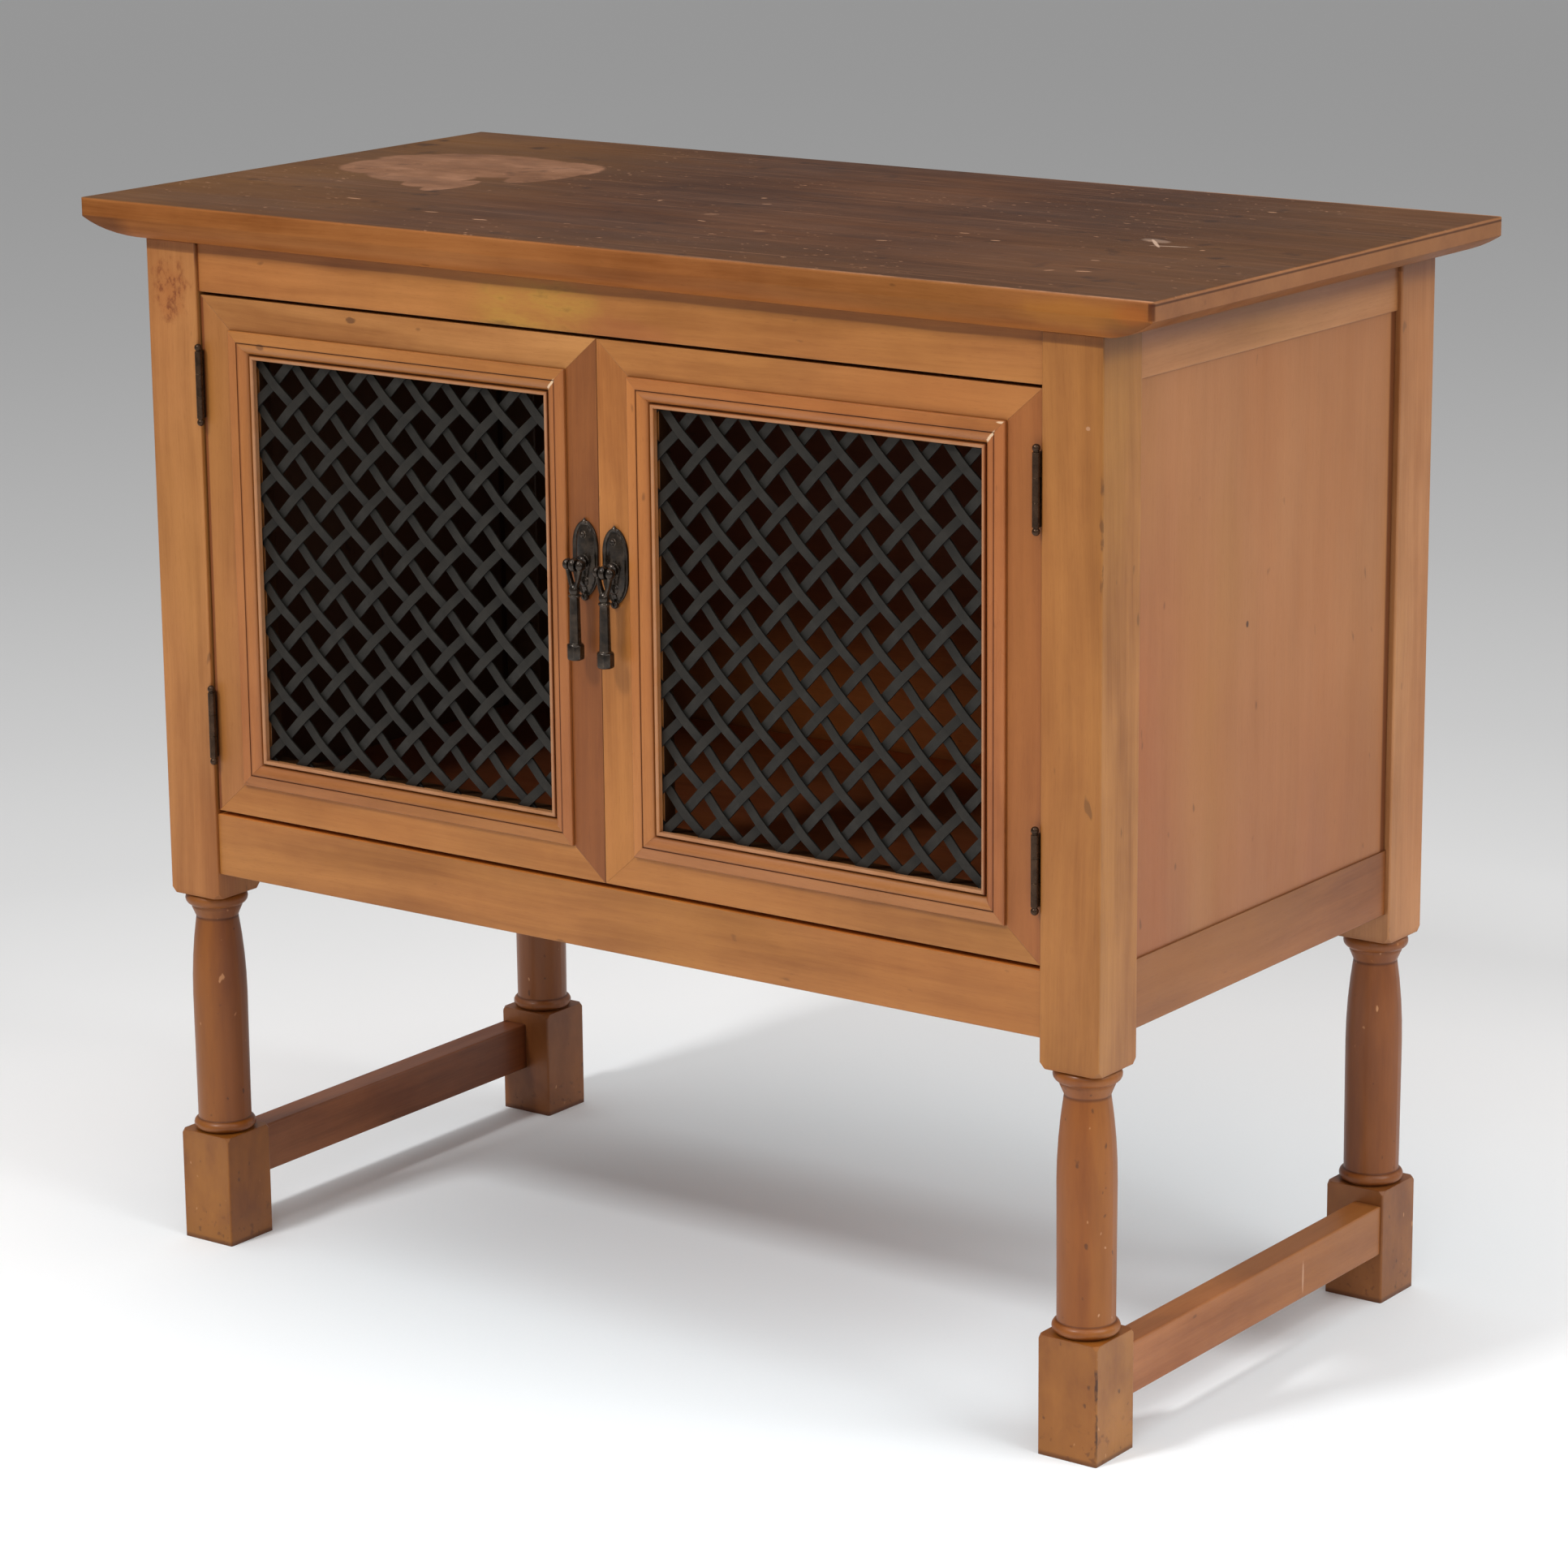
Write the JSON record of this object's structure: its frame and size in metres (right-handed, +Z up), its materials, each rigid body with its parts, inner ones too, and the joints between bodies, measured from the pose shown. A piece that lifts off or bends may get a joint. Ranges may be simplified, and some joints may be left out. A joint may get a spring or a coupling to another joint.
{
  "type": "two-door commode cabinet",
  "caption": "Low cabinet with a moulded overhanging top, lattice doors with drop pulls, and turned legs joined by low side stretchers.",
  "frame": {"origin": "on the floor under the centre of the top board", "axes": "+X to the right seen from the front, +Y towards the back, +Z up"},
  "size_m": [0.9, 0.449, 0.778],
  "materials": {
    "top_wood": "dark stained and waxed, worn lighter along the edges",
    "front_wood": "honey brown, satin wax finish",
    "door_wood": "honey to reddish brown, satin wax finish",
    "moulding_wood": "honey brown, satin wax finish",
    "side_wood": "pinkish brown, satin wax finish",
    "stretcher_wood": "brown, satin wax finish with small dents",
    "inner_wood": "unpolished reddish brown",
    "lattice_iron": "dark grey, matt",
    "hinge_bronze": "dark bronzed, soft sheen",
    "pull_bronze": "dark bronzed, rubbed on the high spots",
    "bright_steel": "plain",
    "magnet_steel": "plain"
  },
  "bodies": {
    "cabinet": {"top_board": "top_wood", "front_left_post": "front_wood", "front_right_post": "front_wood", "rear_left_post": "side_wood", "rear_right_post": "side_wood", "left_stretcher": "stretcher_wood", "right_stretcher": "stretcher_wood", "front_top_rail": "front_wood", "front_bottom_rail": "front_wood", "rear_top_rail": "side_wood", "rear_bottom_rail": "side_wood", "left_top_rail": "side_wood", "left_bottom_rail": "side_wood", "right_top_rail": "side_wood", "right_bottom_rail": "side_wood", "left_side_panel": "side_wood", "right_side_panel": "side_wood", "back_panel": "inner_wood", "bottom_board": "inner_wood", "top_buttons": "inner_wood", "door_stop": "inner_wood", "door_magnets": "magnet_steel", "left_hinge_case_leaves": "hinge_bronze", "left_hinge_pins": "hinge_bronze", "right_hinge_case_leaves": "hinge_bronze", "right_hinge_pins": "hinge_bronze", "case_hinge_screws": "bright_steel"},
    "left_door": {"left_door_hinge_stile": "door_wood", "left_door_meeting_stile": "door_wood", "left_door_top_rail": "door_wood", "left_door_bottom_rail": "door_wood", "left_door_hinge_side_moulding": "moulding_wood", "left_door_meeting_side_moulding": "moulding_wood", "left_door_top_moulding": "moulding_wood", "left_door_bottom_moulding": "moulding_wood", "left_door_rising_strips": "lattice_iron", "left_door_falling_strips": "lattice_iron", "left_door_strike_plate": "bright_steel", "left_hinge_door_leaves": "hinge_bronze", "left_door_hinge_screws": "bright_steel", "left_pull_backplate": "pull_bronze", "left_pull_eye": "pull_bronze"},
    "right_door": {"right_door_hinge_stile": "door_wood", "right_door_meeting_stile": "door_wood", "right_door_top_rail": "door_wood", "right_door_bottom_rail": "door_wood", "right_door_hinge_side_moulding": "moulding_wood", "right_door_meeting_side_moulding": "moulding_wood", "right_door_top_moulding": "moulding_wood", "right_door_bottom_moulding": "moulding_wood", "right_door_rising_strips": "lattice_iron", "right_door_falling_strips": "lattice_iron", "right_door_strike_plate": "bright_steel", "right_hinge_door_leaves": "hinge_bronze", "right_door_hinge_screws": "bright_steel", "right_pull_backplate": "pull_bronze", "right_pull_eye": "pull_bronze"},
    "left_pendant": {"left_pull_pendant": "pull_bronze"},
    "right_pendant": {"right_pull_pendant": "pull_bronze"}
  },
  "joints": [
    {"name": "left_door_hinge", "type": "hinge", "parent": "cabinet", "child": "left_door", "pos_m": [-0.3551, -0.2094, 0.5245], "axis": [0, 0, -1], "range_deg": [0, 175]},
    {"name": "right_door_hinge", "type": "hinge", "parent": "cabinet", "child": "right_door", "pos_m": [0.3551, -0.2094, 0.5245], "axis": [0, 0, 1], "range_deg": [0, 175]},
    {"name": "left_pull_swing", "type": "hinge", "parent": "left_door", "child": "left_pendant", "pos_m": [-0.0117, -0.2175, 0.5597], "axis": [-1, 0, 0], "range_deg": [-5, 170]},
    {"name": "right_pull_swing", "type": "hinge", "parent": "right_door", "child": "right_pendant", "pos_m": [0.0139, -0.2175, 0.5571], "axis": [-1, 0, 0], "range_deg": [-5, 170]}
  ]
}
